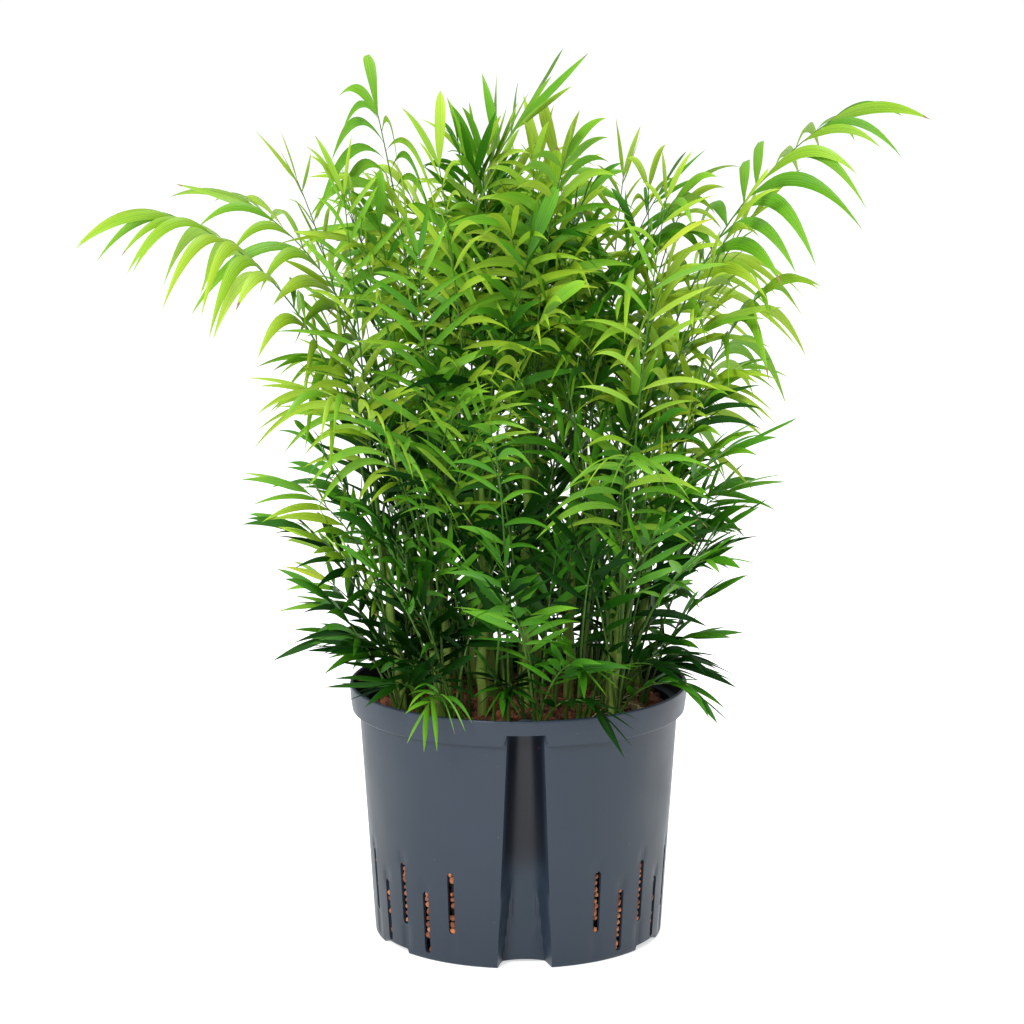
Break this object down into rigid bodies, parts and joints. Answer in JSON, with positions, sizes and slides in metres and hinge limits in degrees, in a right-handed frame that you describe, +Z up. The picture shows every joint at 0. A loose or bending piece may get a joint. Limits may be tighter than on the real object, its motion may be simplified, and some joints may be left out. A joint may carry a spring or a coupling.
{
  "type": "potted parlour palm",
  "caption": "Bushy parlour palm with upright canes and arching feathery fronds, standing in a round tapered slotted culture pot filled with clay granules.",
  "frame": {"origin": "middle of the pot's flat underside", "axes": "+Z up along the pot's axis; -Y towards the gauge channel at the front of the pot; +X to the right"},
  "size_m": [0.6288, 0.5027, 0.6502],
  "materials": {
    "pot": "satin slate blue-grey moulded plastic",
    "clay": "matt fired clay granules",
    "cane": "smooth green cane with pale rings",
    "frond": "satin green leaf"
  },
  "bodies": {
    "root": {"cane_01": "cane", "cane_02": "cane", "cane_03": "cane", "cane_04": "cane", "cane_05": "cane", "cane_06": "cane", "cane_07": "cane", "cane_08": "cane", "cane_09": "cane", "cane_10": "cane", "cane_11": "cane", "cane_12": "cane", "cane_13": "cane", "cane_14": "cane", "clay_granules": "clay", "crown_01": "frond", "crown_02": "frond", "crown_03": "frond", "crown_04": "frond", "crown_05": "frond", "crown_06": "frond", "crown_07": "frond", "crown_08": "frond", "crown_09": "frond", "crown_10": "frond", "crown_11": "frond", "crown_12": "frond", "crown_13": "frond", "crown_14": "frond", "frond_back_left": "frond", "frond_back_middle": "frond", "frond_back_right": "frond", "frond_far_left": "frond", "frond_far_right": "frond", "frond_front_left": "frond", "frond_front_middle": "frond", "frond_front_right": "frond", "frond_high_right": "frond", "frond_low_right": "frond", "frond_mid_right": "frond", "frond_middle_01": "frond", "frond_middle_02": "frond", "frond_middle_03": "frond", "frond_middle_04": "frond", "frond_middle_05": "frond", "frond_middle_06": "frond", "frond_middle_07": "frond", "frond_second_left": "frond", "frond_top_left": "frond", "frond_top_middle": "frond", "pot": "pot", "shoot_01": "frond", "shoot_02": "frond", "shoot_03": "frond", "shoot_04": "frond", "shoot_05": "frond", "shoot_06": "frond", "shoot_07": "frond", "shoot_08": "frond", "shoot_09": "frond"}
  },
  "joints": []
}
